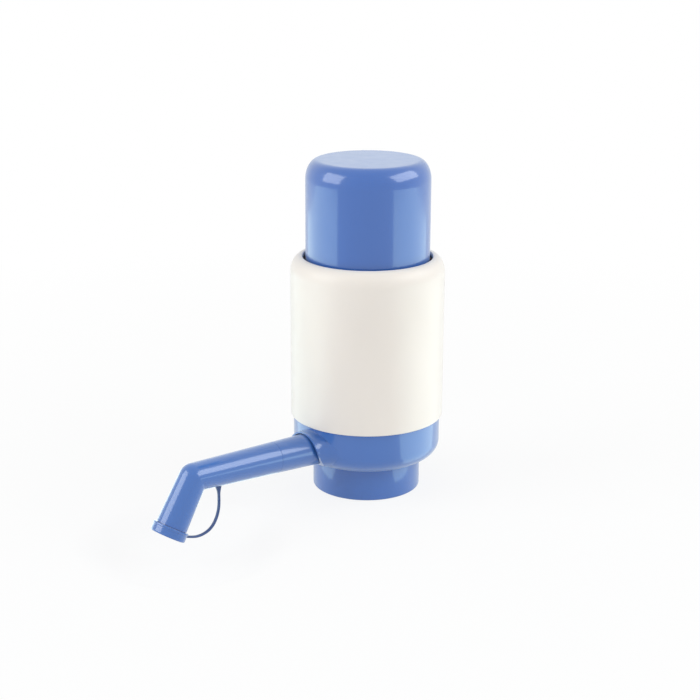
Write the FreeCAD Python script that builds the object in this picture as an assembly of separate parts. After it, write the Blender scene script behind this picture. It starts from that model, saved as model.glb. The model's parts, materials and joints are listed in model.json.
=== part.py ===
import FreeCAD, Part
import os
from collections import namedtuple
from math import asin, cos, radians, sin, sqrt, tan

# Hand pump that stands on the neck of a large water bottle. Sizes are in mm, +Z is up, the origin is the
# middle of the collar's lower rim on the pump's axis, and the spout points along -X.

# Clearances
FIT_GAP = 0.05  # radial, for turning and push fits
LOOSE_GAP = 0.3  # between pieces that pass each other
SHADOW_GAP = 0.4  # open line under the sleeve and behind the spout's cap

# Neck collar, its seal and the bottle neck it takes
NECK_BORE_R = 27.75
NECK_DEPTH = 12.0
COLLAR_WALL = 3.0
COLLAR_HEIGHT = 19.0
COLLAR_EDGE_R = 0.8
COLLAR_FLANGE_W = 1.2
COLLAR_FLANGE_T = 2.2
SEAL_GROOVE = 0.85
SEAL_T = 2.8
SEAL_W = 7.8

# Base housing
BASE_INSET = 1.56  # from the sleeve's side in to the base's
BASE_HEIGHT = 24.2
BASE_CORNER_W = 10.0
BASE_CORNER_H = 9.0
BASE_WALL = 2.2
BASE_FLOOR_T = 2.4
BASE_LAND_W = 2.4

# Hood and socket that carry the spout
SPOUT_DROP = 12.4  # from the sleeve's edge down to the spout's axis
HOOD_OUT = 7.0  # how far its brow stands out from the base's side
HOOD_ROOT_IN = 5.9  # inside the base's side
HOOD_FLARE = 9.0  # how much wider the hood is at its root than at its rim, on each side
HOOD_CHIN = 1.1  # how far its underside is below the spout's
HOOD_BROW_T = 0.8
HOOD_FACE_R = 22.0  # curve of its face, which falls back below the brow
HOOD_BROW_H = 9.0  # from the spout's axis up to where the face is farthest out
HOOD_WALL = 1.0
MOUTH_GAP_W = 1.3  # between the spout and the mouth's sides
MOUTH_GAP_H = 0.4
MOUTH_FLOOR_IN = 0.4  # inside the base's side
SOCKET_WALL = 2.1
SOCKET_IN = 4.4  # inside the base's wall

# Body sleeve
SLEEVE_OVERHANG = 12.71  # from the collar's side out to the sleeve's
SLEEVE_WALL = 2.0
SLEEVE_HEIGHT = 92.6
SLEEVE_EDGE_R = 0.7
LIP_REACH = 6.96  # from the sleeve's side in to its mouth
SHOULDER_H = 9.0
LIP_T = 2.2
SEAT_HEIGHT = 6.0
SNAP_H = 1.4
SNAP_PROUD = 0.35

# Pressing cap
CAP_MOUTH_GAP = 1.6  # between the cap and the sleeve's mouth
CAP_SHOWS = 54.2
CAP_WALL = 2.2
CAP_ROOF_T = 2.5
CAP_CROWN_W = 7.0
CAP_CROWN_H = 11.0
CAP_FLANGE_T = 2.5
CAP_GUIDE_DROP = 14.0
CAP_GUIDE_GAP = 0.45
CAP_BOSS_H = 3.2

# Deck above the base: valve body, gasket, valve plate and clamp ring
DECK_FLANGE_T = 2.0
GASKET_T = 0.8
VALVE_PLATE_T = 2.2
CLAMP_RING_T = 2.4
VALVE_BODY_WALL = 2.4
WEB_T = 2.4
AIR_HOLES = 4
AIR_HOLE_R = 2.0
AIR_HOLE_CIRCLE_R = 13.0

# Bellows and the plate that holds its top
BELLOWS_GAP = 1.5  # between the folds and the cap
BELLOWS_FOLD = 8.7  # depth of a fold
BELLOWS_SKIN = 1.5
BELLOWS_FLANGE_T = 1.2
BELLOWS_FOLDS = 9
BELLOWS_NECK = 2.0  # between the last fold and the plate
TOP_PLATE_T = 2.2
TOP_PLATE_GAP = 1.7  # between the plate and the folds

# Screws
SCREW_R = 1.5
SCREW_HEAD_R = 2.6
SCREW_HEAD_H = 1.8
PLATE_SCREWS = 4
PLATE_SCREW_LENGTH = 18.0
CAP_SCREWS = 3
CAP_SCREW_OUT = 1.0  # beyond the folds' inner edges
BOSS_WALL = 1.5
BOSS_RIB_T = 2.0

# Umbrella valves
UMBRELLA_R = 7.0
UMBRELLA_T = 1.2
UMBRELLA_STEM_R = 1.6
UMBRELLA_BEAD_R = 2.2
VALVE_PORTS = 6
VALVE_PORT_R = 1.1
VALVE_PORT_CIRCLE_R = 4.5

# Riser elbow, which takes the dip tube from below and feeds the spout
DIP_SPIGOT_R = 4.5
DIP_SPIGOT_WALL = 1.2
DIP_SPIGOT_TIP = 0.3  # above the seal's underside
DIP_SHOULDER_W = 0.4
DIP_SHOULDER_H = 0.8  # below the web, where the dip tube stops
FOOT_W = 2.5
FOOT_T = 1.2
WASHER_T = 0.8
PIPE_IN_SPOUT = 7.5
ORING_SECTION_R = 0.6

# Spout, measured along its rising axis from the pump's axis
SPOUT_RISE = 3.0
SPOUT_REACH = 124.8
STUB_IN = 1.9  # inside the socket's end
STUB_SHOWS = 21.5  # beyond the hood's brow
STUB_R = 9.3
STUB_TAPER = 0.54
STUB_STEP_L = 1.4  # length of the step in its bore
JOURNAL_WALL = 2.075
PLUG_LENGTH = 12.0
PLUG_WALL = 1.6
CLIP_T = 1.0
CLIP_W = 1.1
CLIP_GROOVE = 0.5
CLIP_MOUTH_ANGLE = 70.0

# Arm, elbow and nozzle
ARM_SOCKET_WALL = 1.3
JOINT_BEVEL = 0.15
ELBOW_R = 7.7
ARM_WALL = 1.5
NOZZLE_DROP = 58.0
NOZZLE_LENGTH = 28.1
NOZZLE_FLARE = 0.8
NOZZLE_LIP_STEP = 0.4
NOZZLE_LIP_LENGTH = 3.3

# Spout cap and its tether
SPOUT_CAP_WALL = 1.45
SPOUT_CAP_H = 5.2
SPOUT_CAP_EDGE_R = 0.8
SPOUT_CAP_BEAD = 0.3
SPOUT_CAP_BEAD_W = 1.2
SPOUT_CAP_END_T = 1.5
TETHER_T = 1.1
TETHER_W = 1.8
TETHER_ROOT_BACK = 16.4
TETHER_ROOT_L = 5.4
TETHER_ROOT_W = 2.4
TETHER_ROOT_H = 5.4

Vector = FreeCAD.Vector
Bend = namedtuple("Bend", "r z")
ORIGIN = Vector(0, 0, 0)
UP = Vector(0, 0, 1)
WELD = 0.5  # how far fused and cutting shapes run past each other
HOOD_STEPS = (0.0, 0.25, 0.5, 0.75, 1.0)


# Shapes that repeat

def quarter_oval(start, end, centre):
    """Quarter of an oval from start to end about the centre, all as (r, z)."""
    corners = [Vector(r, 0, z) for r, z in (start, end)]
    middle = Vector(centre.r, 0, centre.z)
    corners.sort(key=lambda corner: -corner.distanceToPoint(middle))
    long_end, short_end = corners
    return Part.ArcOfEllipse(Part.Ellipse(long_end, short_end, middle), 0, radians(90)).toShape()


def outline(path):
    """Face in the XZ plane inside a closed path of (r, z) corners, where a Bend is the centre of a curve."""
    edges = []
    start = path[0]
    centre = None
    for step in path[1:] + path[:1]:
        if isinstance(step, Bend):
            centre = step
            continue
        if centre:
            edges.append(quarter_oval(start, step, centre))
        else:
            edges.append(Part.makeLine(Vector(start[0], 0, start[1]), Vector(step[0], 0, step[1])))
        start = step
        centre = None
    return Part.Face(Part.Wire(edges))


def turned(path):
    """Solid of revolution about Z."""
    return outline(path).revolve(ORIGIN, UP, 360)


def ring(inner, outer, low, high):
    return turned([(inner, low), (outer, low), (outer, high), (inner, high)])


def rod(radius, low, high, x=0.0, y=0.0):
    return Part.makeCylinder(radius, high - low, Vector(x, y, low))


def cone(low_r, high_r, low, high):
    return Part.makeCone(low_r, high_r, high - low, Vector(0, 0, low))


def angles_on_circle(count, first=0.0):
    return [first + 360.0 * i / count for i in range(count)]


def places_on_circle(count, radius, first=0.0):
    turns = [radians(angle) for angle in angles_on_circle(count, first)]
    return [(radius * cos(turn), radius * sin(turn)) for turn in turns]


def laid_along(shape, start, direction):
    """The shape with its Z axis turned to the direction, so that +X points up, and moved to start."""
    placed = shape.copy()
    placed.Placement = FreeCAD.Placement(start, FreeCAD.Rotation(UP, direction))
    return placed


def screw(length, head_height):
    """Pan head screw, point down, with the head's underside at zero."""
    edge = head_height / 2
    return turned([
        (0, -length), (SCREW_R / 2, -length), (SCREW_R, -length + SCREW_R), (SCREW_R, 0),
        (SCREW_HEAD_R, 0), (SCREW_HEAD_R, edge), Bend(SCREW_HEAD_R - edge, edge),
        (SCREW_HEAD_R - edge, head_height), (0, head_height)])


def umbrella_valve(plate_t):
    """Umbrella valve whose plate has its underside at zero; the umbrella hangs below it."""
    return turned([
        (0, -UMBRELLA_T), (UMBRELLA_R * 0.6, -UMBRELLA_T), (UMBRELLA_R, -UMBRELLA_T / 3), (UMBRELLA_R, 0),
        (UMBRELLA_STEM_R, 0), (UMBRELLA_STEM_R, plate_t), (UMBRELLA_BEAD_R, plate_t),
        (UMBRELLA_STEM_R, plate_t + UMBRELLA_T), (0, plate_t + UMBRELLA_T)])


def valve_ports(low, high):
    """The stem's hole and the ports around it."""
    ports = [rod(UMBRELLA_STEM_R, low - WELD, high + WELD)]
    for x, y in places_on_circle(VALVE_PORTS, VALVE_PORT_CIRCLE_R):
        ports.append(rod(VALVE_PORT_R, low - WELD, high + WELD, x, y))
    return ports


# Heights and radii that follow from the driving sizes

COLLAR_R = NECK_BORE_R + COLLAR_WALL
GROOVE_R = NECK_BORE_R + SEAL_GROOVE
SEAL_R = GROOVE_R - LOOSE_GAP
SEAL_HOLE_R = SEAL_R - SEAL_W
SEAL_LOW = NECK_DEPTH + LOOSE_GAP
SEAL_HIGH = SEAL_LOW + SEAL_T

SLEEVE_R = COLLAR_R + SLEEVE_OVERHANG
SLEEVE_INNER_R = SLEEVE_R - SLEEVE_WALL
SLEEVE_MOUTH_R = SLEEVE_R - LIP_REACH
CAP_R = SLEEVE_MOUTH_R - CAP_MOUTH_GAP
CAP_INNER_R = CAP_R - CAP_WALL
BELLOWS_R = CAP_INNER_R - BELLOWS_GAP
BELLOWS_ROOT_R = BELLOWS_R - BELLOWS_FOLD
TOP_PLATE_R = BELLOWS_R - BELLOWS_SKIN - TOP_PLATE_GAP
CAP_SCREW_CIRCLE_R = BELLOWS_ROOT_R + CAP_SCREW_OUT
BOSS_R = SCREW_R + BOSS_WALL

BASE_R = SLEEVE_R - BASE_INSET
BASE_LOW = COLLAR_HEIGHT
BASE_HIGH = BASE_LOW + BASE_HEIGHT
BASE_HOLE_R = COLLAR_R + LOOSE_GAP
BASE_INNER_R = BASE_R - BASE_WALL
FLOOR_TOP = BASE_LOW + BASE_FLOOR_T
COLLAR_FLANGE_LOW = FLOOR_TOP + LOOSE_GAP / 2
COLLAR_FLANGE_HIGH = COLLAR_FLANGE_LOW + COLLAR_FLANGE_T
COLLAR_FLANGE_R = COLLAR_R + COLLAR_FLANGE_W

PIPE_R = DIP_SPIGOT_R + DIP_SHOULDER_W
PIPE_BORE_R = DIP_SPIGOT_R - DIP_SPIGOT_WALL
FOOT_R = PIPE_R + FOOT_W
STUB_BORE_R = PIPE_R + SEAL_GROOVE / 2
JOURNAL_R = STUB_BORE_R + JOURNAL_WALL
CLIP_R = JOURNAL_R + CLIP_W
STUB_END_R = STUB_R - STUB_TAPER
ARM_START_R = STUB_END_R
PLUG_R = ARM_START_R - ARM_SOCKET_WALL - FIT_GAP
ARM_BORE_R = ELBOW_R - ARM_WALL
NOZZLE_END_R = ELBOW_R + NOZZLE_FLARE
NOZZLE_LIP_R = NOZZLE_END_R - NOZZLE_LIP_STEP
SPOUT_CAP_R = NOZZLE_LIP_R + FIT_GAP + SPOUT_CAP_WALL

MOUTH_HALF_W = STUB_R + MOUTH_GAP_W
MOUTH_HALF_H = STUB_R + MOUTH_GAP_H
HOOD_HALF_W = MOUTH_HALF_W + HOOD_WALL
HOOD_TOP = MOUTH_HALF_H + HOOD_BROW_T
HOOD_LOW = STUB_R + HOOD_CHIN
HOOD_HALF_H = (HOOD_TOP + HOOD_LOW) / 2
HOOD_REACH = BASE_R + HOOD_OUT
HOOD_ROOT_AT = BASE_R - HOOD_ROOT_IN
SOCKET_START = BASE_INNER_R - SOCKET_IN
STUB_START = SOCKET_START - STUB_IN
STUB_END = HOOD_REACH + STUB_SHOWS

RISE = radians(SPOUT_RISE)
SPOUT_DIRECTION = Vector(-cos(RISE), 0, sin(RISE))
SPOUT_Z = BASE_HIGH - SPOUT_DROP - SLEEVE_R * tan(RISE)
SPOUT_START = Vector(0, 0, SPOUT_Z)
ARM_LENGTH = SPOUT_REACH / cos(RISE)
ELBOW = SPOUT_START + SPOUT_DIRECTION * ARM_LENGTH
DROP = radians(NOZZLE_DROP)
NOZZLE_DIRECTION = Vector(-cos(DROP), 0, -sin(DROP))
SOCKET_R = JOURNAL_R + FIT_GAP + SOCKET_WALL
MOUTH_FLOOR = BASE_R - MOUTH_FLOOR_IN

SPIGOT_R = SLEEVE_R - SLEEVE_WALL - LOOSE_GAP
DECK_LOW = SPOUT_Z + BASE_INNER_R * tan(RISE) + SOCKET_R / cos(RISE) + LOOSE_GAP
DECK_HIGH = DECK_LOW + DECK_FLANGE_T
PLATE_LOW = DECK_HIGH + GASKET_T
PLATE_HIGH = PLATE_LOW + VALVE_PLATE_T
BELLOWS_LOW = PLATE_HIGH
CLAMP_LOW = BELLOWS_LOW + BELLOWS_FLANGE_T
CLAMP_HIGH = CLAMP_LOW + CLAMP_RING_T
SEAT_HIGH = BASE_HIGH + SEAT_HEIGHT
SEAT_INNER_R = SPIGOT_R - SLEEVE_WALL
DECK_R = SEAT_INNER_R - LOOSE_GAP
DECK_SCREW_CIRCLE_R = SEAT_INNER_R - SCREW_HEAD_R - LOOSE_GAP
PLATE_SCREW_ANGLES = angles_on_circle(PLATE_SCREWS, 180.0 / PLATE_SCREWS)
PLATE_SCREW_PLACES = places_on_circle(PLATE_SCREWS, DECK_SCREW_CIRCLE_R, 180.0 / PLATE_SCREWS)
BODY_SHOULDER_LOW = COLLAR_FLANGE_HIGH + LOOSE_GAP
BODY_SHOULDER_R = COLLAR_R + LOOSE_GAP
WASHER_HIGH = SPOUT_Z - PIPE_R - LOOSE_GAP
WEB_HIGH = WASHER_HIGH - WASHER_T
WEB_LOW = WEB_HIGH - WEB_T

SLEEVE_LOW = BASE_HIGH
SLEEVE_HIGH = SLEEVE_LOW + SLEEVE_HEIGHT
SHOULDER_LOW = SLEEVE_HIGH - SHOULDER_H

CAP_HIGH = SLEEVE_HIGH + CAP_SHOWS
ROOF_LOW = CAP_HIGH - CAP_ROOF_T
CAP_FLANGE_R = SLEEVE_INNER_R - CAP_GUIDE_GAP
STOP_SHARE = (CAP_FLANGE_R + LOOSE_GAP - SLEEVE_MOUTH_R) / (SLEEVE_INNER_R - SLEEVE_MOUTH_R)
CAP_STOP_HIGH = SHOULDER_LOW + (SHOULDER_H - LIP_T) * sqrt(max(0.0, 1 - STOP_SHARE ** 2))
CAP_SKIRT_LOW = CAP_STOP_HIGH - CAP_FLANGE_T - CAP_GUIDE_DROP
BELLOWS_HIGH = ROOF_LOW - CAP_BOSS_H
BELLOWS_TOP_LOW = BELLOWS_HIGH - BELLOWS_FLANGE_T
TOP_PLATE_LOW = BELLOWS_TOP_LOW - TOP_PLATE_T

CAP_RIM_AT = NOZZLE_LENGTH + SHADOW_GAP
CAP_END_AT = CAP_RIM_AT + SPOUT_CAP_H


def on_spout(shape):
    return laid_along(shape, SPOUT_START, SPOUT_DIRECTION)


def on_nozzle(shape):
    return laid_along(shape, ELBOW, NOZZLE_DIRECTION)


# Collar and seal at the bottle's neck

def neck_collar():
    """Ring that turns under the base and takes the bottle's neck; its flange is trapped in the base."""
    return turned([
        (NECK_BORE_R, 0), (COLLAR_R - COLLAR_EDGE_R, 0), Bend(COLLAR_R - COLLAR_EDGE_R, COLLAR_EDGE_R),
        (COLLAR_R, COLLAR_EDGE_R), (COLLAR_R, COLLAR_FLANGE_LOW), (COLLAR_FLANGE_R, COLLAR_FLANGE_LOW),
        (COLLAR_FLANGE_R, COLLAR_FLANGE_HIGH), (GROOVE_R, COLLAR_FLANGE_HIGH), (GROOVE_R, NECK_DEPTH),
        (NECK_BORE_R, NECK_DEPTH)])


def neck_seal():
    return ring(SEAL_HOLE_R, SEAL_R, SEAL_LOW, SEAL_HIGH)


# Base housing

def base_bowl():
    """Outside of the base as a full solid, with the seat for the sleeve on top."""
    corner_r = BASE_R - BASE_CORNER_W
    corner_z = BASE_LOW + BASE_CORNER_H
    snap_low = BASE_HIGH + (SEAT_HEIGHT - SNAP_H) / 2
    snap_r = SPIGOT_R + SNAP_PROUD
    return turned([
        (0, BASE_LOW), (corner_r, BASE_LOW), Bend(corner_r, corner_z), (BASE_R, corner_z),
        (BASE_R, BASE_HIGH), (SPIGOT_R, BASE_HIGH), (SPIGOT_R, snap_low), (snap_r, snap_low + SNAP_H / 3),
        (snap_r, snap_low + SNAP_H * 2 / 3), (SPIGOT_R, snap_low + SNAP_H), (SPIGOT_R, SEAT_HIGH),
        (0, SEAT_HIGH)])


def base_cavity():
    """Space inside the base, open at the top and at the collar's hole."""
    land_r = BASE_HOLE_R + BASE_LAND_W
    curve_z = FLOOR_TOP + BASE_CORNER_H - BASE_WALL
    return turned([
        (0, BASE_LOW - WELD), (BASE_HOLE_R, BASE_LOW - WELD), (BASE_HOLE_R, FLOOR_TOP), (land_r, FLOOR_TOP),
        Bend(land_r, curve_z), (BASE_INNER_R, curve_z), (BASE_INNER_R, BASE_HIGH - BASE_WALL),
        (SEAT_INNER_R, BASE_HIGH), (SEAT_INNER_R, SEAT_HIGH + WELD), (0, SEAT_HIGH + WELD)])


def oval_section(half_width, half_height, along, rise=0.0):
    """Closed oval across the spout's axis; the width lies along Y, and it is raised above the axis."""
    flat = Part.Ellipse(ORIGIN, half_width, half_height).toShape()
    flat.rotate(ORIGIN, UP, 90)
    flat.translate(Vector(rise, 0, along))
    return Part.Wire([flat])


def hood():
    """Faired hood that grows out of the bowl over the spout's root; its face falls back below the brow."""
    sections = []
    for step in HOOD_STEPS:
        half_width = HOOD_HALF_W + HOOD_FLARE * (1 - step) ** 2
        along = HOOD_ROOT_AT + (HOOD_REACH - HOOD_ROOT_AT) * step
        sections.append(oval_section(half_width, HOOD_HALF_H, along, HOOD_TOP - HOOD_HALF_H))
    body = Part.makeLoft(sections, True, False)
    middle = Vector(HOOD_BROW_H, -SLEEVE_R, HOOD_REACH - HOOD_FACE_R)
    face = Part.makeCylinder(HOOD_FACE_R, 2 * SLEEVE_R, middle, Vector(0, 1, 0))
    behind = Part.makeBox(2 * SLEEVE_R, 2 * SLEEVE_R, middle.z, Vector(-SLEEVE_R, -SLEEVE_R, 0))
    return on_spout(body.common(face.fuse(behind)))


def deck_boss(angle):
    """Boss for one of the deck's screws, tied to the wall by a rib; it stands at the angle about Z."""
    post = rod(BOSS_R, BASE_LOW, DECK_LOW, DECK_SCREW_CIRCLE_R)
    rib_start = Vector(DECK_SCREW_CIRCLE_R, -BOSS_RIB_T / 2, BASE_LOW)
    rib = Part.makeBox(BASE_INNER_R + WELD - DECK_SCREW_CIRCLE_R, BOSS_RIB_T, DECK_LOW - BASE_LOW, rib_start)
    return post.fuse(rib).rotated(ORIGIN, UP, angle)


def base_housing():
    """Bowl shaped shell with the hood, the spout's socket and the bosses for the deck's screws."""
    bowl = base_bowl()
    shell = bowl.fuse(hood()).cut(base_cavity())
    socket = on_spout(rod(SOCKET_R, SOCKET_START, MOUTH_FLOOR + WELD))
    bosses = [deck_boss(angle).common(bowl) for angle in PLATE_SCREW_ANGLES]
    pilot_low = CLAMP_HIGH - PLATE_SCREW_LENGTH - LOOSE_GAP
    pilots = [rod(SCREW_R + FIT_GAP, pilot_low, SEAT_HIGH, x, y) for x, y in PLATE_SCREW_PLACES]
    shell = shell.fuse([socket] + bosses)
    journal_bore = on_spout(rod(JOURNAL_R + FIT_GAP, STUB_START - WELD, HOOD_REACH))
    mouth_oval = Part.Face(oval_section(MOUTH_HALF_W, MOUTH_HALF_H, MOUTH_FLOOR))
    mouth = on_spout(mouth_oval.extrude(Vector(0, 0, HOOD_REACH)))
    clip_room = on_spout(rod(CLIP_R + LOOSE_GAP, STUB_START - LOOSE_GAP, SOCKET_START))
    return shell.cut([journal_bore, mouth, clip_room] + pilots).removeSplitter()


# Deck above the base

def deck_holes(low, high):
    return [rod(SCREW_R + LOOSE_GAP, low - WELD, high + WELD, x, y) for x, y in PLATE_SCREW_PLACES]


def valve_body():
    """Stepped cup that presses on the neck's seal, carries the riser and closes the base from inside."""
    outer_low_r = SEAL_R
    inner_low_r = outer_low_r - VALVE_BODY_WALL
    inner_high_r = BODY_SHOULDER_R - VALVE_BODY_WALL
    step_z = BODY_SHOULDER_LOW + VALVE_BODY_WALL
    foot_r = outer_low_r - SEAL_W + VALVE_BODY_WALL
    cup = turned([
        (0, WEB_LOW), (foot_r, WEB_LOW), (foot_r, SEAL_HIGH), (outer_low_r, SEAL_HIGH),
        (outer_low_r, BODY_SHOULDER_LOW), (BODY_SHOULDER_R, BODY_SHOULDER_LOW), (BODY_SHOULDER_R, DECK_LOW),
        (DECK_R, DECK_LOW), (DECK_R, DECK_HIGH), (inner_high_r, DECK_HIGH), (inner_high_r, step_z),
        (inner_low_r, step_z), (inner_low_r, WEB_HIGH), (0, WEB_HIGH)])
    holes = deck_holes(DECK_LOW, DECK_HIGH)
    holes.append(rod(PIPE_R + FIT_GAP, WEB_LOW - WELD, WEB_HIGH + WELD))
    holes.append(on_spout(rod(PIPE_R + LOOSE_GAP, 0, BODY_SHOULDER_R + WELD)))
    for x, y in places_on_circle(AIR_HOLES, AIR_HOLE_CIRCLE_R, 180.0 / AIR_HOLES):
        holes.append(rod(AIR_HOLE_R, WEB_LOW - WELD, WEB_HIGH + WELD, x, y))
    return cup.cut(holes)


def plate_gasket():
    inner_r = BODY_SHOULDER_R - VALVE_BODY_WALL + LOOSE_GAP
    return ring(inner_r, DECK_R, DECK_HIGH, PLATE_LOW).cut(deck_holes(DECK_HIGH, PLATE_LOW))


def valve_plate():
    """Round plate between the bellows and the valve body, with the ports of the outlet valve."""
    disc = rod(DECK_R, PLATE_LOW, PLATE_HIGH)
    return disc.cut(deck_holes(PLATE_LOW, PLATE_HIGH) + valve_ports(PLATE_LOW, PLATE_HIGH))


def outlet_valve():
    return umbrella_valve(VALVE_PLATE_T).translated(Vector(0, 0, PLATE_LOW))


def bellows_clamp_ring():
    flat = ring(BELLOWS_R + LOOSE_GAP, DECK_R, CLAMP_LOW, CLAMP_HIGH)
    return flat.cut(deck_holes(CLAMP_LOW, CLAMP_HIGH))


def plate_screws():
    """Screws that hold the clamp ring, bellows, plate and valve body down on the base's bosses."""
    one = screw(PLATE_SCREW_LENGTH, SCREW_HEAD_H)
    return Part.makeCompound([one.translated(Vector(x, y, CLAMP_HIGH)) for x, y in PLATE_SCREW_PLACES])


# Riser elbow with its washer and ring

def riser_elbow():
    """Elbow with a spigot for the dip tube below and a pipe that runs into the spout's stub."""
    pipe_end = STUB_START + PIPE_IN_SPOUT
    tip = SEAL_LOW + DIP_SPIGOT_TIP
    shoulder = WEB_LOW - DIP_SHOULDER_H
    foot = rod(FOOT_R, WASHER_HIGH, WASHER_HIGH + FOOT_T)
    spigot = rod(DIP_SPIGOT_R, tip, shoulder)
    upright = rod(PIPE_R, shoulder, SPOUT_Z)
    knuckle = Part.makeSphere(PIPE_R, SPOUT_START)
    pipe = on_spout(rod(PIPE_R, 0, pipe_end))
    groove_at = pipe_end - 3 * ORING_SECTION_R
    groove = on_spout(ring(PIPE_R - ORING_SECTION_R, PIPE_R + WELD, groove_at - ORING_SECTION_R - FIT_GAP,
                           groove_at + ORING_SECTION_R + FIT_GAP))
    bore_up = rod(PIPE_BORE_R, tip - WELD, SPOUT_Z)
    bore_knuckle = Part.makeSphere(PIPE_BORE_R, SPOUT_START)
    bore_out = on_spout(rod(PIPE_BORE_R, 0, pipe_end + WELD))
    return upright.fuse([spigot, knuckle, pipe, foot]).cut([bore_up, bore_knuckle, bore_out, groove])


def riser_washer():
    return ring(PIPE_R + FIT_GAP, FOOT_R, WEB_HIGH, WASHER_HIGH)


def spout_oring():
    """Rubber ring in the pipe's groove, just inside the stub's bore."""
    outer = STUB_BORE_R - FIT_GAP
    inner = PIPE_R - ORING_SECTION_R
    middle = (outer + inner) / 2
    place = STUB_START + PIPE_IN_SPOUT - 3 * ORING_SECTION_R
    return on_spout(Part.makeTorus(middle, (outer - inner) / 2, Vector(0, 0, place)))


# Bellows

def bellows():
    """Folded skin between the valve plate and the press cap, with a flange at each end."""
    low = CLAMP_HIGH + LOOSE_GAP
    high = TOP_PLATE_LOW - BELLOWS_NECK
    half_pitch = (high - low) / (2 * BELLOWS_FOLDS)
    outside = [(BELLOWS_R, CLAMP_LOW)]
    inside = [(BELLOWS_R - BELLOWS_SKIN, CLAMP_LOW)]
    for i in range(2 * BELLOWS_FOLDS + 1):
        crest = BELLOWS_R if i % 2 == 0 else BELLOWS_ROOT_R
        outside.append((crest, low + i * half_pitch))
        inside.append((crest - BELLOWS_SKIN, low + i * half_pitch))
    top_wall = [(BELLOWS_R, BELLOWS_HIGH), (BELLOWS_ROOT_R - BELLOWS_SKIN, BELLOWS_HIGH),
                (BELLOWS_ROOT_R - BELLOWS_SKIN, BELLOWS_TOP_LOW), (BELLOWS_R - BELLOWS_SKIN, BELLOWS_TOP_LOW)]
    bottom = [(BELLOWS_R - BELLOWS_SKIN, BELLOWS_LOW), (DECK_R, BELLOWS_LOW), (DECK_R, CLAMP_LOW)]
    skin = turned(bottom + outside + top_wall + inside[:0:-1])
    holes = deck_holes(BELLOWS_LOW, CLAMP_LOW)
    for x, y in places_on_circle(CAP_SCREWS, CAP_SCREW_CIRCLE_R, 90):
        holes.append(rod(SCREW_R + LOOSE_GAP, BELLOWS_TOP_LOW - WELD, BELLOWS_HIGH + WELD, x, y))
    return skin.cut(holes)


# Pressing cap and what it carries

def press_cap():
    """Dome that is pressed by hand: its upper flange stops it under the sleeve's lip, the lower guides it."""
    crown_r = CAP_R - CAP_CROWN_W
    crown_z = CAP_HIGH - CAP_CROWN_H
    stop_low = CAP_STOP_HIGH - CAP_FLANGE_T
    guide_high = CAP_SKIRT_LOW + CAP_FLANGE_T
    dome = turned([
        (0, CAP_HIGH), (0, ROOF_LOW), (crown_r, ROOF_LOW), Bend(crown_r, crown_z), (CAP_INNER_R, crown_z),
        (CAP_INNER_R, CAP_SKIRT_LOW), (CAP_FLANGE_R, CAP_SKIRT_LOW), (CAP_FLANGE_R, guide_high),
        (CAP_R, guide_high), (CAP_R, stop_low), (CAP_FLANGE_R, stop_low), (CAP_FLANGE_R, CAP_STOP_HIGH),
        (CAP_R, CAP_STOP_HIGH), (CAP_R, crown_z), Bend(crown_r, crown_z), (crown_r, CAP_HIGH)])
    places = places_on_circle(CAP_SCREWS, CAP_SCREW_CIRCLE_R, 90)
    bosses = [rod(BOSS_R, BELLOWS_HIGH, ROOF_LOW + WELD, x, y) for x, y in places]
    pilots = [rod(SCREW_R + FIT_GAP, BELLOWS_HIGH - WELD, ROOF_LOW + FIT_GAP, x, y) for x, y in places]
    return dome.fuse(bosses).cut(pilots)


def cap_plate():
    """Plate inside the bellows' top that clamps it to the cap's bosses and holds the inlet valve."""
    holes = valve_ports(TOP_PLATE_LOW, BELLOWS_TOP_LOW)
    for x, y in places_on_circle(CAP_SCREWS, CAP_SCREW_CIRCLE_R, 90):
        holes.append(rod(SCREW_R + LOOSE_GAP, TOP_PLATE_LOW - WELD, BELLOWS_TOP_LOW + WELD, x, y))
    return rod(TOP_PLATE_R, TOP_PLATE_LOW, BELLOWS_TOP_LOW).cut(holes)


def inlet_valve():
    return umbrella_valve(TOP_PLATE_T).translated(Vector(0, 0, TOP_PLATE_LOW))


def cap_screws():
    """Screws that come up from inside the bellows into the cap's bosses."""
    length = ROOF_LOW - TOP_PLATE_LOW - LOOSE_GAP
    one = screw(length, SCREW_HEAD_H)
    one.rotate(ORIGIN, Vector(1, 0, 0), 180)
    places = places_on_circle(CAP_SCREWS, CAP_SCREW_CIRCLE_R, 90)
    return Part.makeCompound([one.translated(Vector(x, y, TOP_PLATE_LOW)) for x, y in places])


# Sleeve

def body_sleeve():
    """White sleeve with a rounded shoulder whose lip keeps the cap in, and a groove for the snap bead."""
    snap_low = SLEEVE_LOW + (SEAT_HEIGHT - SNAP_H) / 2 - LOOSE_GAP / 2
    snap_high = snap_low + SNAP_H + LOOSE_GAP
    groove_r = SLEEVE_INNER_R + SNAP_PROUD
    mouth_edge = SLEEVE_MOUTH_R + SLEEVE_EDGE_R
    return turned([
        (SLEEVE_INNER_R, SLEEVE_LOW), (SLEEVE_R - SLEEVE_EDGE_R, SLEEVE_LOW),
        Bend(SLEEVE_R - SLEEVE_EDGE_R, SLEEVE_LOW + SLEEVE_EDGE_R), (SLEEVE_R, SLEEVE_LOW + SLEEVE_EDGE_R),
        (SLEEVE_R, SHOULDER_LOW), Bend(mouth_edge, SHOULDER_LOW), (mouth_edge, SLEEVE_HIGH),
        Bend(mouth_edge, SLEEVE_HIGH - SLEEVE_EDGE_R), (SLEEVE_MOUTH_R, SLEEVE_HIGH - SLEEVE_EDGE_R),
        (SLEEVE_MOUTH_R, SLEEVE_HIGH - LIP_T), Bend(SLEEVE_MOUTH_R, SHOULDER_LOW),
        (SLEEVE_INNER_R, SHOULDER_LOW), (SLEEVE_INNER_R, snap_high), (groove_r, snap_high),
        (groove_r, snap_low), (SLEEVE_INNER_R, snap_low)])


# Spout

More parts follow.
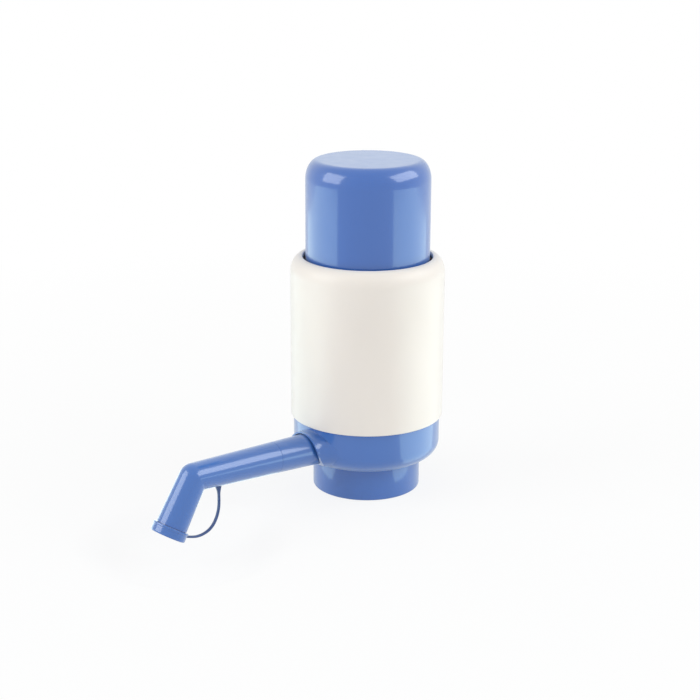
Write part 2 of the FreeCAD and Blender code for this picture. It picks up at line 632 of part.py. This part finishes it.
def spout_stub():
    """Root of the spout: a journal in the base's socket, the part in the hood, and a plug for the arm."""
    shoulder = MOUTH_FLOOR + LOOSE_GAP
    groove_low = SOCKET_START - LOOSE_GAP - CLIP_T
    groove_r = JOURNAL_R - CLIP_GROOVE
    bore_r = PLUG_R - PLUG_WALL
    plug_end = STUB_END + PLUG_LENGTH
    tube = turned([
        (STUB_BORE_R, STUB_START), (JOURNAL_R, STUB_START), (JOURNAL_R, groove_low - FIT_GAP),
        (groove_r, groove_low - FIT_GAP), (groove_r, groove_low + CLIP_T + FIT_GAP),
        (JOURNAL_R, groove_low + CLIP_T + FIT_GAP), (JOURNAL_R, shoulder), (STUB_R, shoulder),
        (STUB_END_R, STUB_END - JOINT_BEVEL), (STUB_END_R - JOINT_BEVEL, STUB_END), (PLUG_R, STUB_END),
        (PLUG_R, plug_end), (bore_r, plug_end), (bore_r, shoulder + STUB_STEP_L), (STUB_BORE_R, shoulder)])
    return on_spout(tube)


def spout_clip():
    """Open spring ring in the stub's groove, which keeps the spout in the base's socket."""
    low = SOCKET_START - LOOSE_GAP - CLIP_T
    groove_r = JOURNAL_R - CLIP_GROOVE
    band = ring(groove_r + FIT_GAP, CLIP_R, low, low + CLIP_T)
    reach = CLIP_R / cos(radians(CLIP_MOUTH_ANGLE / 2)) + WELD
    half = radians(CLIP_MOUTH_ANGLE / 2)
    corners = [ORIGIN, Vector(reach * cos(half), reach * sin(half), 0),
               Vector(reach * cos(half), -reach * sin(half), 0), ORIGIN]
    wedge = Part.Face(Part.makePolygon(corners)).extrude(Vector(0, 0, CLIP_T + 2 * WELD))
    wedge.translate(Vector(0, 0, low - WELD))
    return on_spout(band.cut(wedge))


def elbow_wedge(radius):
    """Part of a ball that fills the outside of the bend between the arm's end and the nozzle's start."""
    across = Vector(0, radius, 0)
    outward = Vector(sin(RISE), 0, cos(RISE)) * radius
    arc = Part.Arc(ELBOW + across, ELBOW + outward, ELBOW - across).toShape()
    half_disc = Part.Face(Part.Wire([arc, Part.makeLine(ELBOW - across, ELBOW + across)]))
    return half_disc.revolve(ELBOW, Vector(0, -1, 0), SPOUT_RISE + NOZZLE_DROP)


def arm_outside():
    """Arm, elbow and nozzle as one full solid."""
    bevel_end = STUB_END + JOINT_BEVEL
    arm = on_spout(cone(ARM_START_R, ELBOW_R, bevel_end, ARM_LENGTH))
    bevel = on_spout(cone(ARM_START_R - JOINT_BEVEL, ARM_START_R, STUB_END, bevel_end))
    nozzle = on_nozzle(cone(ELBOW_R, NOZZLE_END_R, 0, NOZZLE_LENGTH))
    lip = on_nozzle(rod(NOZZLE_LIP_R, NOZZLE_LENGTH, NOZZLE_LENGTH + NOZZLE_LIP_LENGTH))
    return arm.fuse([bevel, elbow_wedge(ELBOW_R), nozzle, lip])


def spout_arm():
    """Hollow arm that is pushed on the stub, with the elbow and the nozzle that points down."""
    socket_end = STUB_END + PLUG_LENGTH + LOOSE_GAP
    bore = on_spout(rod(ARM_BORE_R, socket_end - WELD, ARM_LENGTH))
    socket = on_spout(rod(PLUG_R + FIT_GAP, STUB_END - WELD, socket_end))
    outlet = on_nozzle(rod(ARM_BORE_R, 0, NOZZLE_LENGTH + NOZZLE_LIP_LENGTH + WELD))
    hollow = bore.fuse([elbow_wedge(ARM_BORE_R), outlet, socket])
    return arm_outside().cut(hollow)


def spout_cap_outside():
    edge = SPOUT_CAP_EDGE_R
    bead_r = SPOUT_CAP_R + SPOUT_CAP_BEAD
    bead_end = CAP_RIM_AT + SPOUT_CAP_BEAD_W
    return on_nozzle(turned([
        (0, CAP_RIM_AT), (SPOUT_CAP_R, CAP_RIM_AT), (bead_r, CAP_RIM_AT + SPOUT_CAP_BEAD),
        (bead_r, bead_end - SPOUT_CAP_BEAD), (SPOUT_CAP_R, bead_end), (SPOUT_CAP_R, CAP_END_AT - edge),
        Bend(SPOUT_CAP_R - edge, CAP_END_AT - edge), (SPOUT_CAP_R - edge, CAP_END_AT), (0, CAP_END_AT)]))


def spout_cap():
    """Shallow cup pushed on the nozzle's lip."""
    cup = rod(NOZZLE_LIP_R + FIT_GAP, CAP_RIM_AT - WELD, CAP_END_AT - SPOUT_CAP_END_T)
    return spout_cap_outside().cut(on_nozzle(cup))


# Tether between the arm and the spout cap

def tether_route():
    """Corners of the strap's middle line in the spout's own plane, as hand set offsets from the elbow."""
    side = Vector(sin(DROP), 0, -cos(DROP))
    root = SPOUT_START + SPOUT_DIRECTION * (ARM_LENGTH - TETHER_ROOT_BACK) - Vector(0, 0, ELBOW_R)
    loop = [(17.0, -18.0), (15.6, -26.0), (11.4, -32.0), (5.0, -34.1), (-1.6, -33.6)]
    end = ELBOW + NOZZLE_DIRECTION * (CAP_RIM_AT + SPOUT_CAP_H / 2) + side * (SPOUT_CAP_R - WELD)
    return [root] + [ELBOW + Vector(dx, 0, dz) for dx, dz in loop] + [end]


def rounded_route(points):
    """Straight runs joined by tangent arcs, each as large as its two runs allow."""
    edges = []
    start = points[0]
    for before, corner, after in zip(points, points[1:], points[2:]):
        back = (before - corner).normalize()
        ahead = (after - corner).normalize()
        setback = 0.45 * min(corner.distanceToPoint(before), corner.distanceToPoint(after))
        bisector = (back + ahead).normalize()
        half_angle = asin(min(1.0, (ahead - back).Length / 2))
        radius = setback * tan(half_angle)
        middle = corner + bisector * (radius / sin(half_angle) - radius)
        arc_start = corner + back * setback
        arc_end = corner + ahead * setback
        edges.append(Part.makeLine(start, arc_start))
        edges.append(Part.Arc(arc_start, middle, arc_end).toShape())
        start = arc_end
    edges.append(Part.makeLine(start, points[-1]))
    return Part.Wire(edges)


def box_section(centre, direction, thick, wide):
    """Rectangle square to the direction, wide along Y."""
    across = direction.cross(Vector(0, 1, 0)).normalize() * (thick / 2)
    side = Vector(0, wide / 2, 0)
    corners = [centre + across + side, centre - across + side, centre - across - side, centre + across - side]
    return Part.makePolygon(corners + corners[:1])


def cap_tether():
    """Thin moulded strap with a tapered root under the arm; its other end meets the cap's side."""
    points = tether_route()
    route = rounded_route(points)
    first = (points[1] - points[0]).normalize()
    strap = route.makePipeShell([box_section(points[0], first, TETHER_T, TETHER_W)], True, False)
    root_end = points[0] + first * TETHER_ROOT_H
    wedge = Part.makeLoft([box_section(points[0], first, TETHER_ROOT_L, TETHER_ROOT_W),
                           box_section(root_end, first, TETHER_T, TETHER_W)], True, True)
    return strap.fuse(wedge).cut([arm_outside(), spout_cap_outside()])


MAKERS = (
    neck_collar, neck_seal, base_housing, valve_body, plate_gasket, valve_plate, outlet_valve,
    bellows_clamp_ring, plate_screws, riser_elbow, riser_washer, spout_oring, bellows, press_cap, cap_plate,
    inlet_valve, cap_screws, body_sleeve, spout_stub, spout_clip, spout_arm, spout_cap, cap_tether)


def main():
    os.makedirs("parts", exist_ok=True)
    for maker in MAKERS:
        shape = maker()
        shape.exportStep("parts/" + maker.__name__ + ".step")
        print(f"{maker.__name__:20s} solids {len(shape.Solids)} valid {shape.isValid()} "
              f"volume {shape.Volume:9.1f} z {shape.BoundBox.ZMin:7.2f} to {shape.BoundBox.ZMax:7.2f}")


main()
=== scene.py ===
import json
from math import cos, pi, radians, sin

import bmesh
import bpy
from mathutils import Matrix, Vector


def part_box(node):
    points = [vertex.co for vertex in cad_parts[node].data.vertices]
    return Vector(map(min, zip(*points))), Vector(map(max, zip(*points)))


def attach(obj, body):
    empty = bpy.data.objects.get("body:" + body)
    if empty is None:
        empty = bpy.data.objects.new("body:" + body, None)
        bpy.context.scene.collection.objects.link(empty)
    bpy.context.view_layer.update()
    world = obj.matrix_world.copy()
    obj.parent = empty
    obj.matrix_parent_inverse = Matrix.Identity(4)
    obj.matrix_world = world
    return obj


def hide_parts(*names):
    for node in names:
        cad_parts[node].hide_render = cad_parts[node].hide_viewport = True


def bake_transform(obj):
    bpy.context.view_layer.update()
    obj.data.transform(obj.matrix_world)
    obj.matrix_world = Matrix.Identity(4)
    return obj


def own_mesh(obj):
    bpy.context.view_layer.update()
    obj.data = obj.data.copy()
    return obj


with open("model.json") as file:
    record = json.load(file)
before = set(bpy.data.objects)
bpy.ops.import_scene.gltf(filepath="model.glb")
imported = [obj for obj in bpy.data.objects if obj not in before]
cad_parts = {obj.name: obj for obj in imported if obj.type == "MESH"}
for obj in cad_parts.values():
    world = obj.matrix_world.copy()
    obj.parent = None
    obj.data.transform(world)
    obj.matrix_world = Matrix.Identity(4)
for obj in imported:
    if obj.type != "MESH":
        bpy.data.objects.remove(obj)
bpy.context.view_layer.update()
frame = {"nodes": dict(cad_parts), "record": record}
MM = 0.001

# Where the photograph was taken from, in the part's own frame
CAMERA_PLACE = Vector((-0.59061, -0.63335, 0.34552))
CAMERA_RIGHT = Vector((0.7398, -0.6728, 0.0041))
CAMERA_UP = Vector((0.1944, 0.2195, 0.9560))
CAMERA_LENS = 81.60
CAMERA_SENSOR = 36.0

# Colours of the mouldings, as linear light
CAP_BLUE = (0.022, 0.118, 0.450)
BASE_BLUE = (0.022, 0.130, 0.470)
SPOUT_BLUE = (0.024, 0.130, 0.455)
# The strap's blue is about half as bright as the spout's blue, though it is the same moulding: painted
# shade, for the shadow the thin strap hangs in under the arm
TETHER_SHADED_BLUE = (0.040, 0.085, 0.230)
IVORY = (0.870, 0.805, 0.740)
NATURAL = (0.720, 0.730, 0.710)
MILKY = (0.700, 0.730, 0.740)
SILICONE = (0.640, 0.640, 0.610)
ZINC = (0.560, 0.560, 0.580)

# Clear outer gloss and pale veil of the mouldings
COAT_ROUGHNESS = 0.12
COAT_IOR = 1.9
VEIL_ROUGHNESS = 0.5
VEIL_TINT = (0.85, 0.97, 1.0, 1)

# Light
SKY_LIGHT = 0.62
BACKGROUND = 1.0
SOFTBOX_TINT = (0.95, 0.99, 1.0)
CARD_TINT = (0.72, 1.0, 0.96)

# Floor, in metres; the basin is round, and lies under the nozzle
FLOOR_REACH = 4.0
FLOOR_DROP = 0.0002
FLOOR_STEPS = 96
FLOOR_GREY = (0.86, 0.86, 0.86, 1)
BASIN_X = -0.132
BASIN_FLAT = 0.030
BASIN_EDGE = 0.060
BASIN_DEEP = 0.011
BASIN_RINGS = 16

# Share of plain white in what the eye sees of the floor, near the pump and far from it
NEAR_WHITE = 0.85
NEAR_RADIUS = 0.10
FAR_WHITE = 1.0
FAR_RADIUS = 0.60

# Strap between the arm and the spout's cap: x and z of its middle line in the spout's plane, in mm
TETHER_ROUTE = [(-108.42, 26.9), (-107.8, 17.06), (-109.2, 9.06), (-113.4, 2.8),
                (-119.8, 0.5), (-126.4, 1.0), (-133.56, 3.87)]
TETHER_THICK = 1.1
TETHER_WIDE = 1.8
TETHER_ROOT = (4.6, 2.4)
TETHER_ROOT_HIGH = 6.0

# Bellows, in mm
CREST = 31.2
FOLDS = 9
STEPS_PER_FOLD = 12
FOLD_DEPTH = 8.7
FOLDS_FROM_FOOT = 3.9
FOLDS_FROM_TOP = 8.0
SKIN = 1.5
FLANGE = 1.2
TOP_HOLE = 21.0
SCREW_HOLE = 1.8
FOOT_SCREWS = (4, 36.26, 45)
TOP_SCREWS = (3, 23.5, 90)


# Materials

def new_material(name):
    material = bpy.data.materials.new(name)
    material.use_nodes = True
    nodes = material.node_tree.nodes
    shader = nodes["Principled BSDF"]
    place = nodes.new("ShaderNodeTexCoord").outputs["Object"]
    return material, nodes, material.node_tree.links, shader, place


def noise(nodes, links, place, size, detail=3.0, stretch=(1, 1, 1)):
    """Cloudy pattern whose patches are about the given size in metres, with values from 0 to 1."""
    mapping = nodes.new("ShaderNodeMapping")
    mapping.inputs["Scale"].default_value = [1 / (size * s) for s in stretch]
    links.new(place, mapping.inputs["Vector"])
    texture = nodes.new("ShaderNodeTexNoise")
    texture.inputs["Scale"].default_value = 1.0
    texture.inputs["Detail"].default_value = detail
    links.new(mapping.outputs["Vector"], texture.inputs["Vector"])
    return texture.outputs["Fac"]


def between(nodes, links, value, low, high):
    """The pattern's middle range spread over the values from low to high."""
    spread = nodes.new("ShaderNodeMapRange")
    spread.inputs["From Min"].default_value = 0.3
    spread.inputs["From Max"].default_value = 0.7
    spread.inputs["To Min"].default_value = low
    spread.inputs["To Max"].default_value = high
    links.new(value, spread.inputs["Value"])
    return spread.outputs["Result"]


def tinted(nodes, links, value, colour, share):
    """The colour, a little darker and lighter by the pattern."""
    mix = nodes.new("ShaderNodeMix")
    mix.data_type = "RGBA"
    mix.inputs[6].default_value = [c * (1 - share) for c in colour] + [1]
    mix.inputs[7].default_value = [min(1.0, c * (1 + share)) for c in colour] + [1]
    links.new(between(nodes, links, value, 0.0, 1.0), mix.inputs[0])
    return mix.outputs[2]


def bump(nodes, links, value, height, strength, under=None):
    node = nodes.new("ShaderNodeBump")
    node.inputs["Distance"].default_value = height
    node.inputs["Strength"].default_value = strength
    links.new(value, node.inputs["Height"])
    if under:
        links.new(under, node.inputs["Normal"])
    return node.outputs["Normal"]


def moulded(name, colour, gloss, coat=0.0, veil=0.0, glow=0.0):
    """Moulded plastic: faint flow marks, uneven gloss, a fine ripple, and a pale veil towards the sides."""
    material, nodes, links, shader, place = new_material(name)
    flow = noise(nodes, links, place, 0.045, 2.0, (1, 1, 2.2))
    skin = noise(nodes, links, place, 0.006, 3.0)
    grain = noise(nodes, links, place, 0.0007, 2.0)
    links.new(tinted(nodes, links, flow, colour, 0.035), shader.inputs["Base Color"])
    links.new(between(nodes, links, skin, gloss * 0.9, gloss * 1.12), shader.inputs["Roughness"])
    ripple = bump(nodes, links, skin, 0.00004, 0.25)
    links.new(bump(nodes, links, grain, 0.000003, 0.15, ripple), shader.inputs["Normal"])
    shader.inputs["Specular IOR Level"].default_value = 0.5 - 0.4 * coat
    shader.inputs["Coat Weight"].default_value = coat
    shader.inputs["Coat Roughness"].default_value = COAT_ROUGHNESS
    shader.inputs["Coat IOR"].default_value = COAT_IOR
    shader.inputs["Sheen Weight"].default_value = veil
    shader.inputs["Sheen Roughness"].default_value = VEIL_ROUGHNESS
    shader.inputs["Sheen Tint"].default_value = VEIL_TINT
    if glow:
        shader.inputs["Subsurface Weight"].default_value = glow
        shader.inputs["Subsurface Radius"].default_value = (1.0, 0.9, 0.75)
        shader.inputs["Subsurface Scale"].default_value = 0.003
    return material


def rubber(name, colour):
    material, nodes, links, shader, place = new_material(name)
    patches = noise(nodes, links, place, 0.01)
    grain = noise(nodes, links, place, 0.0005)
    links.new(tinted(nodes, links, patches, colour, 0.06), shader.inputs["Base Color"])
    links.new(between(nodes, links, patches, 0.55, 0.7), shader.inputs["Roughness"])
    links.new(bump(nodes, links, grain, 0.00003, 0.4), shader.inputs["Normal"])
    return material


def plated_steel(name, colour):
    material, nodes, links, shader, place = new_material(name)
    streaks = noise(nodes, links, place, 0.002, 4.0, (0.3, 0.3, 3))
    links.new(tinted(nodes, links, streaks, colour, 0.08), shader.inputs["Base Color"])
    links.new(between(nodes, links, streaks, 0.22, 0.42), shader.inputs["Roughness"])
    links.new(bump(nodes, links, streaks, 0.00001, 0.3), shader.inputs["Normal"])
    shader.inputs["Metallic"].default_value = 1.0
    return material


MATERIALS = {
    "blue_cap": moulded("cap_plastic", CAP_BLUE, 0.35, coat=0.6, veil=0.4),
    "blue_base": moulded("base_plastic", BASE_BLUE, 0.36, coat=0.6, veil=0.6),
    "blue_spout": moulded("spout_plastic", SPOUT_BLUE, 0.35, coat=0.6, veil=0.4),
    "ivory_sleeve": moulded("sleeve_plastic", IVORY, 0.38, veil=0.3, glow=0.12),
    # The strap's darker blue is painted shade on the spout's plastic
    "soft_blue": moulded("tether_plastic_painted_shade", TETHER_SHADED_BLUE, 0.42),
    "natural_plastic": moulded("natural_plastic", NATURAL, 0.45, glow=0.1),
    "bellows_skin": moulded("bellows_plastic", MILKY, 0.40, glow=0.2),
    "seal_rubber": rubber("silicone", SILICONE),
    "steel": plated_steel("zinc_plate", ZINC),
}


def dress(piece, slot):
    piece.data.materials.clear()
    piece.data.materials.append(MATERIALS[slot])


def dress_cad_nodes():
    for part in frame["record"]["subparts"]:
        dress(frame["nodes"][part["node"]], part["material_slot"])


# Soft pieces that stand for plainer CAD solids

def new_piece(name, mesh, slot, sharp=40):
    """Object made of the mesh, dressed by its slot, smooth except at edges sharper than the angle."""
    mesh.shade_smooth()
    mesh.set_sharp_from_angle(angle=radians(sharp))
    piece = bpy.data.objects.new(name, mesh)
    bpy.context.collection.objects.link(piece)
    dress(piece, slot)
    return piece


def smooth_line(points):
    """Points along the smooth curve that the route's points steer."""
    curve = bpy.data.curves.new("route", "CURVE")
    curve.dimensions = "3D"
    spline = curve.splines.new("NURBS")
    spline.points.add(len(points) - 1)
    for knot, place in zip(spline.points, points):
        knot.co = (*place, 1)
    spline.order_u = 3
    spline.use_endpoint_u = True
    holder = bpy.data.objects.new("route", curve)
    mesh = bpy.data.meshes.new_from_object(holder)
    line = [vertex.co.copy() for vertex in mesh.vertices]
    bpy.data.meshes.remove(mesh)
    bpy.data.curves.remove(curve)
    return line


def rounded_bar(thick, wide, corners=16):
    """Outline of the strap's section with rounded corners, as (across, sideways)."""
    outline = []
    for i in range(corners):
        turn = 2 * pi * (i + 0.5) / corners
        across = abs(cos(turn)) ** 0.5 * (1 if cos(turn) > 0 else -1)
        sideways = abs(sin(turn)) ** 0.5 * (1 if sin(turn) > 0 else -1)
        outline.append((across * thick / 2, sideways * wide / 2))
    return outline


def tether_strap():
    """Thin strap that hangs in a loop; its root widens in a short faired wedge under the arm."""
    line = smooth_line([Vector((x * MM, 0, z * MM)) for x, z in TETHER_ROUTE])
    made = bmesh.new()
    rings = []
    gone = 0.0
    for i, place in enumerate(line):
        ahead = (line[min(i + 1, len(line) - 1)] - line[max(i - 1, 0)]).normalized()
        across = ahead.cross(Vector((0, 1, 0)))
        if i:
            gone += (place - line[i - 1]).length
        root = max(0.0, 1 - gone / (TETHER_ROOT_HIGH * MM)) ** 1.5
        thick = TETHER_THICK + (TETHER_ROOT[0] - TETHER_THICK) * root
        wide = TETHER_WIDE + (TETHER_ROOT[1] - TETHER_WIDE) * root
        corners = [place + (across * a + Vector((0, b, 0))) * MM for a, b in rounded_bar(thick, wide)]
        rings.append([made.verts.new(corner) for corner in corners])
    for lower, upper in zip(rings, rings[1:]):
        for i in range(len(lower)):
            made.faces.new((lower[i - 1], lower[i], upper[i], upper[i - 1]))
    made.faces.new(rings[0])
    made.faces.new(rings[-1])
    bmesh.ops.recalc_face_normals(made, faces=made.faces)
    mesh = bpy.data.meshes.new("tether_strap")
    made.to_mesh(mesh)
    made.free()
    strap = new_piece("tether_strap", mesh, "soft_blue")
    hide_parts("cap_tether")
    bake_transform(strap)


def turned_mesh(name, profile, steps=96):
    """Closed surface of revolution about the pump's axis; the profile is a closed path of (r, z) in mm."""
    made = bmesh.new()
    columns = []
    for i in range(steps):
        turn = 2 * pi * i / steps
        column = [(r * cos(turn) * MM, r * sin(turn) * MM, z * MM) for r, z in profile]
        columns.append([made.verts.new(corner) for corner in column])
    for i, column in enumerate(columns):
        for j in range(len(profile)):
            made.faces.new((columns[i - 1][j - 1], column[j - 1], column[j], columns[i - 1][j]))
    bmesh.ops.recalc_face_normals(made, faces=made.faces)
    mesh = bpy.data.meshes.new(name)
    made.to_mesh(mesh)
    made.free()
    return mesh


def screw_holes(name, low, high, count, circle, first):
    """Rods that cut a flange's screw holes, on a circle about the pump's axis."""
    made = bmesh.new()
    for i in range(count):
        turn = radians(first + 360 * i / count)
        place = Vector((circle * cos(turn), circle * sin(turn), (low + high) / 2)) * MM
        bmesh.ops.create_cone(made, cap_ends=True, segments=24, radius1=SCREW_HOLE * MM,
                              radius2=SCREW_HOLE * MM, depth=(high - low) * MM,
                              matrix=Matrix.Translation(place))
    mesh = bpy.data.meshes.new(name)
    made.to_mesh(mesh)
    made.free()
    return bpy.data.objects.new(name, mesh)


def drilled(mesh, cutters):
    """The mesh with the cutters' shapes taken out of it."""
    blank = bpy.data.objects.new("blank", mesh)
    bpy.context.collection.objects.link(blank)
    for cutter in cutters:
        bpy.context.collection.objects.link(cutter)
        cut = blank.modifiers.new(cutter.name, "BOOLEAN")
        cut.operation = "DIFFERENCE"
        cut.object = cutter
    graph = bpy.context.evaluated_depsgraph_get()
    result = bpy.data.meshes.new_from_object(blank.evaluated_get(graph))
    for thing in [blank, *cutters]:
        bpy.data.objects.remove(thing)
    return result


def folded_bellows():
    """Blow moulded bellows with round folds, a wide flange at its foot and an inward one at its top."""
    low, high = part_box("bellows")
    foot, top = low.z / MM, high.z / MM
    foot_r = high.x / MM
    folds_low, folds_high = foot + FOLDS_FROM_FOOT, top - FOLDS_FROM_TOP
    steps = FOLDS * STEPS_PER_FOLD
    wall = []
    for i in range(steps + 1):
        dip = FOLD_DEPTH * (1 - cos(2 * pi * FOLDS * i / steps)) / 2
        wall.append((CREST - dip, folds_low + (folds_high - folds_low) * i / steps))
    inner = CREST - SKIN
    profile = [(inner, foot), (foot_r, foot), (foot_r, foot + FLANGE), (CREST, foot + FLANGE)]
    profile += wall
    profile += [(CREST, top), (TOP_HOLE, top), (TOP_HOLE, top - FLANGE), (inner, top - FLANGE)]
    profile += [(r - SKIN, z) for r, z in reversed(wall)]
    mesh = drilled(turned_mesh("bellows_folds", profile), [
        screw_holes("foot_holes", foot - FLANGE, foot + 2 * FLANGE, *FOOT_SCREWS),
        screw_holes("top_holes", top - 2 * FLANGE, top + FLANGE, *TOP_SCREWS)])
    piece = new_piece("bellows_folds", mesh, "bellows_skin")
    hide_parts("bellows")
    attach(piece, "housing")
    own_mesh(piece)


# Stage, light and camera

def white_for_the_eye(nodes, links, lit, white):
    """Mixes in plain white where a ray comes from the camera, a reflection or through glass."""
    path = nodes.new("ShaderNodeLightPath")
    seen = path.outputs["Is Camera Ray"]
    for kind in ("Is Glossy Ray", "Is Transmission Ray"):
        either = nodes.new("ShaderNodeMath")
        either.operation = "MAXIMUM"
        links.new(seen, either.inputs[0])
        links.new(path.outputs[kind], either.inputs[1])
        seen = either.outputs[0]
    mix = nodes.new("ShaderNodeMixShader")
    links.new(seen, mix.inputs[0])
    links.new(lit, mix.inputs[1])
    links.new(white, mix.inputs[2])
    return mix.outputs[0]


def make_world():
    world = bpy.data.worlds.new("studio")
    world.use_nodes = True
    nodes = world.node_tree.nodes
    links = world.node_tree.links
    sky = nodes["Background"]
    sky.inputs["Color"].default_value = (1.0, 1.0, 1.0, 1)
    sky.inputs["Strength"].default_value = SKY_LIGHT
    white = nodes.new("ShaderNodeBackground")
    white.inputs["Color"].default_value = (1, 1, 1, 1)
    white.inputs["Strength"].default_value = BACKGROUND
    mixed = white_for_the_eye(nodes, links, sky.outputs[0], white.outputs[0])
    links.new(mixed, nodes["World Output"].inputs["Surface"])
    bpy.context.scene.world = world


def floor_mesh():
    """Flat round floor with a shallow basin, which leaves room for the spout cap when it is pulled off."""
    radii = [BASIN_FLAT + (BASIN_EDGE - BASIN_FLAT) * i / BASIN_RINGS for i in range(BASIN_RINGS + 1)]
    made = bmesh.new()
    rings = []
    for r in [*radii, FLOOR_REACH]:
        rise = min(1.0, (r - BASIN_FLAT) / (BASIN_EDGE - BASIN_FLAT))
        z = -BASIN_DEEP * (1 + cos(pi * rise)) / 2
        turns = [2 * pi * i / FLOOR_STEPS for i in range(FLOOR_STEPS)]
        rings.append([made.verts.new((BASIN_X + r * cos(turn), r * sin(turn), z)) for turn in turns])
    made.faces.new(rings[0])
    for inner, outer in zip(rings, rings[1:]):
        for i in range(FLOOR_STEPS):
            made.faces.new((inner[i - 1], outer[i - 1], outer[i], inner[i]))
    mesh = bpy.data.meshes.new("floor")
    made.to_mesh(mesh)
    made.free()
    mesh.shade_smooth()
    return mesh


def floor_paper():
    """Pale matte paper that keeps a faint shadow: part of what the eye sees of it is plain white."""
    material, nodes, links, shader, place = new_material("floor_paper")
    shader.inputs["Base Color"].default_value = FLOOR_GREY
    shader.inputs["Specular IOR Level"].default_value = 0.0
    clouds = noise(nodes, links, place, 0.02)
    links.new(between(nodes, links, clouds, 0.85, 0.95), shader.inputs["Roughness"])
    white = nodes.new("ShaderNodeEmission")
    white.inputs["Strength"].default_value = BACKGROUND
    far = nodes.new("ShaderNodeVectorMath")
    far.operation = "LENGTH"
    links.new(place, far.inputs[0])
    share = nodes.new("ShaderNodeMapRange")
    share.inputs["From Min"].default_value = NEAR_RADIUS
    share.inputs["From Max"].default_value = FAR_RADIUS
    share.inputs["To Min"].default_value = NEAR_WHITE
    share.inputs["To Max"].default_value = FAR_WHITE
    links.new(far.outputs["Value"], share.inputs["Value"])
    part_white = nodes.new("ShaderNodeMixShader")
    links.new(share.outputs["Result"], part_white.inputs[0])
    links.new(shader.outputs[0], part_white.inputs[1])
    links.new(white.outputs[0], part_white.inputs[2])
    mixed = white_for_the_eye(nodes, links, shader.outputs[0], part_white.outputs[0])
    links.new(mixed, nodes["Material Output"].inputs["Surface"])
    return material


def make_floor():
    floor = bpy.data.objects.new("floor", floor_mesh())
    bpy.context.collection.objects.link(floor)
    floor.location.z = -FLOOR_DROP
    floor.data.materials.append(floor_paper())


def bearing(turn):
    """Level direction from the pump; the turn starts at the camera's own direction and goes to its right."""
    toward = Vector((CAMERA_PLACE.x, CAMERA_PLACE.y, 0)).normalized()
    return Matrix.Rotation(radians(turn), 3, "Z") @ toward


def area_lamp(name, place, facing, along, width, height, radiance, tint):
    """Rectangular lamp that shines in the facing direction; its width lies along the other one."""
    lamp = bpy.data.lights.new(name, "AREA")
    lamp.shape = "RECTANGLE"
    lamp.size = width
    lamp.size_y = height
    lamp.energy = radiance * pi * width * height
    lamp.color = tint
    holder = bpy.data.objects.new(name, lamp)
    back = -facing
    axes = Matrix((along, back.cross(along), back)).transposed()
    holder.matrix_world = Matrix.Translation(place) @ axes.to_4x4()
    bpy.context.collection.objects.link(holder)
    return holder


def softbox(name, turn, rise, distance, width, height, radiance):
    """Soft lamp at that bearing and height above the floor, in degrees, aimed at the pump's middle."""
    middle = Vector((0, 0, 0.10))
    way = bearing(turn) * cos(radians(rise)) + Vector((0, 0, sin(radians(rise))))
    area_lamp(name, middle + way * distance, -way, bearing(turn + 90), width, height, radiance, SOFTBOX_TINT)


def floor_card(name, edge_turn, side, near, deep, wide, radiance):
    """White card on the floor that only gloss shows, as a pale veil along the pump's side.

    Its front edge points away from the pump's axis at that bearing, and the card lies behind that edge.
    """
    edge = bearing(edge_turn)
    behind = bearing(edge_turn + 90 * side)
    place = edge * (near + deep / 2) + behind * wide / 2 + Vector((0, 0, 0.001))
    card = area_lamp(name, place, Vector((0, 0, 1)), edge, deep, wide, radiance, CARD_TINT)
    card.visible_camera = False
    card.visible_diffuse = False


def make_lights():
    softbox("left_softbox", -72, 25, 1.6, 1.12, 1.0, 3.0)
    softbox("right_softbox", 80, 33, 1.5, 1.45, 0.82, 3.2)
    floor_card("left_card", -56, -1, 0.05, 0.9, 0.75, 1.45)
    floor_card("right_card", 46, 1, 0.05, 0.9, 0.75, 1.5)


def make_camera():
    data = bpy.data.cameras.new("camera")
    data.lens = CAMERA_LENS
    data.sensor_width = CAMERA_SENSOR
    camera = bpy.data.objects.new("camera", data)
    bpy.context.collection.objects.link(camera)
    backward = CAMERA_RIGHT.cross(CAMERA_UP).normalized()
    turn = Matrix((CAMERA_RIGHT, CAMERA_UP, backward)).transposed()
    camera.matrix_world = Matrix.Translation(CAMERA_PLACE) @ turn.to_4x4()
    bpy.context.scene.camera = camera


dress_cad_nodes()
tether_strap()
folded_bellows()
make_world()
make_floor()
make_lights()
make_camera()
bpy.context.scene.view_settings.view_transform = "Standard"
